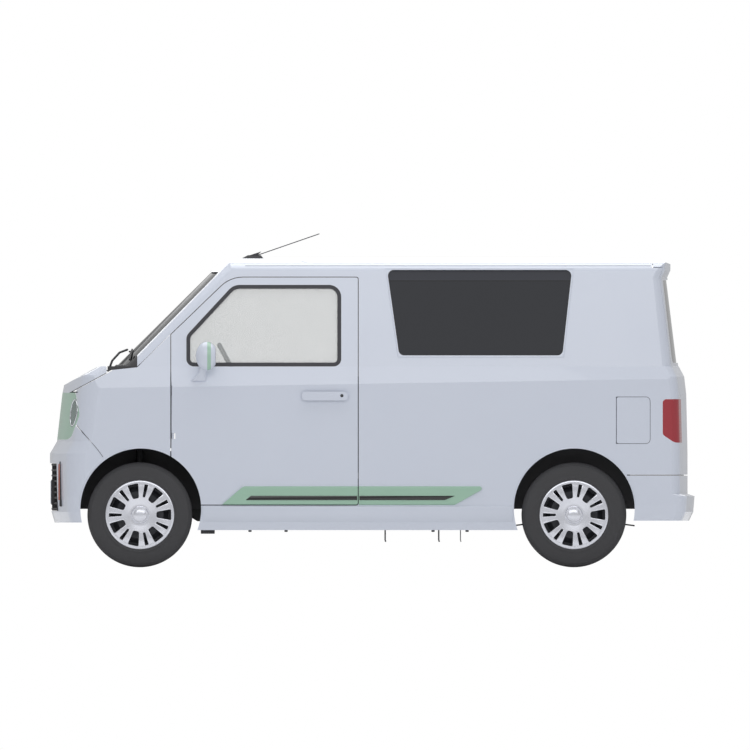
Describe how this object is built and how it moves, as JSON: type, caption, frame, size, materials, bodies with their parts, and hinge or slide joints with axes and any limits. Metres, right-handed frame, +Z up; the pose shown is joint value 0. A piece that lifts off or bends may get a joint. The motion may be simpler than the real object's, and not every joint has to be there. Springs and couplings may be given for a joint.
{
  "type": "small electric van",
  "caption": "Small four-wheeled electric van with front doors, tailgate, bonnet and charge flap on hinges, steered front wheels and wheels that turn freely.",
  "frame": {"origin": "on the ground, midway between nose and tail and between the sides", "axes": "+X to the tail, -Y the left side, +Z up"},
  "size_m": [3.5, 1.74, 1.8134],
  "materials": {
    "body_white": "gloss",
    "trim_green": "satin",
    "wheel_silver": "satin",
    "tyre_rubber": "matt",
    "seal_rubber": "matt",
    "clear_glass": "clear",
    "dark_glass": "tinted",
    "lamp_lens": "clear",
    "red_lens": "gloss",
    "seat_cloth": "woven",
    "black_plastic": "grained",
    "floor_grey": "satin",
    "steel_black": "satin"
  },
  "bodies": {
    "body": {"aerial": "black_plastic", "arch_liners": "black_plastic", "battery_box": "steel_black", "charge_socket": "black_plastic", "chassis_frame": "steel_black", "cowl_panel": "black_plastic", "dashboard": "black_plastic", "fender_left": "body_white", "fender_right": "body_white", "floor_pan": "floor_grey", "front_arms": "steel_black", "front_bumper": "body_white", "headlamps": "lamp_lens", "lamp_band": "trim_green", "leaf_springs": "steel_black", "lower_grille": "black_plastic", "rear_axle": "steel_black", "rear_bumper": "body_white", "roof_panel": "body_white", "seat_backs": "seat_cloth", "seat_cushions": "seat_cloth", "side_panel_left": "body_white", "side_panel_right": "body_white", "side_windows": "dark_glass", "sill_trims": "trim_green", "struts": "steel_black", "tail_lamps": "red_lens", "windscreen": "clear_glass"},
    "door_left": {"door_left": "body_white", "door_seal_left": "seal_rubber", "door_glass_left": "clear_glass", "door_mirror_left": "body_white", "door_handle_left": "body_white", "door_trim_left": "trim_green"},
    "knuckle_left": {"knuckle_left": "steel_black"},
    "wheel_front_left": {"tyre_front_left": "tyre_rubber", "wheel_front_left": "wheel_silver"},
    "wheel_rear_left": {"tyre_rear_left": "tyre_rubber", "wheel_rear_left": "wheel_silver"},
    "door_right": {"door_right": "body_white", "door_seal_right": "seal_rubber", "door_glass_right": "clear_glass", "door_mirror_right": "body_white", "door_handle_right": "body_white", "door_trim_right": "trim_green"},
    "knuckle_right": {"knuckle_right": "steel_black"},
    "wheel_front_right": {"tyre_front_right": "tyre_rubber", "wheel_front_right": "wheel_silver"},
    "wheel_rear_right": {"tyre_rear_right": "tyre_rubber", "wheel_rear_right": "wheel_silver"},
    "tailgate": {"tailgate": "body_white", "tailgate_glass": "dark_glass"},
    "bonnet": {"bonnet": "body_white"},
    "charge_flap": {"charge_flap": "body_white"},
    "steering_wheel": {"steering_wheel": "black_plastic"}
  },
  "joints": [
    {"name": "door_left_hinge", "type": "hinge", "parent": "body", "child": "door_left", "pos_m": [-1.0815, -0.74, 0.84], "axis": [0, 0, -1], "range_deg": [0, 65]},
    {"name": "steering_left", "type": "hinge", "parent": "body", "child": "knuckle_left", "pos_m": [-1.262, -0.59, 0.19], "axis": [0, 0.2079, 0.9781], "range_deg": [-30, 30]},
    {"name": "wheel_front_left_spin", "type": "hinge", "parent": "knuckle_left", "child": "wheel_front_left", "pos_m": [-1.262, -0.6525, 0.285], "axis": [0, 1, 0], "continuous": true},
    {"name": "wheel_rear_left_spin", "type": "hinge", "parent": "body", "child": "wheel_rear_left", "pos_m": [1.095, -0.6525, 0.285], "axis": [0, 1, 0], "continuous": true},
    {"name": "door_right_hinge", "type": "hinge", "parent": "body", "child": "door_right", "pos_m": [-1.0815, 0.74, 0.84], "axis": [0, 0, 1], "range_deg": [0, 65]},
    {"name": "steering_right", "type": "hinge", "parent": "body", "child": "knuckle_right", "pos_m": [-1.262, 0.59, 0.19], "axis": [0, -0.2079, 0.9781], "range_deg": [-30, 30]},
    {"name": "wheel_front_right_spin", "type": "hinge", "parent": "knuckle_right", "child": "wheel_front_right", "pos_m": [-1.262, 0.6525, 0.285], "axis": [0, 1, 0], "continuous": true},
    {"name": "wheel_rear_right_spin", "type": "hinge", "parent": "body", "child": "wheel_rear_right", "pos_m": [1.095, 0.6525, 0.285], "axis": [0, 1, 0], "continuous": true},
    {"name": "tailgate_hinge", "type": "hinge", "parent": "body", "child": "tailgate", "pos_m": [1.5355, 0, 1.659], "axis": [0, -1, 0], "range_deg": [0, 85]},
    {"name": "bonnet_hinge", "type": "hinge", "parent": "body", "child": "bonnet", "pos_m": [-1.4525, 0, 1.082], "axis": [0, 1, 0], "range_deg": [0, 50]},
    {"name": "charge_flap_hinge", "type": "hinge", "parent": "body", "child": "charge_flap", "pos_m": [1.332, -0.74124, 0.7985], "axis": [0, 0.0126, -0.9999], "range_deg": [0, 100]},
    {"name": "steering_wheel_turn", "type": "hinge", "parent": "body", "child": "steering_wheel", "pos_m": [-0.748, -0.34, 1.052], "axis": [0.8829, 0, 0.4695], "range_deg": [-480, 480]}
  ],
  "couplings": [
    {"joint": "steering_right", "follows": "steering_left", "ratio": 1},
    {"joint": "steering_wheel_turn", "follows": "steering_left", "ratio": 16}
  ]
}
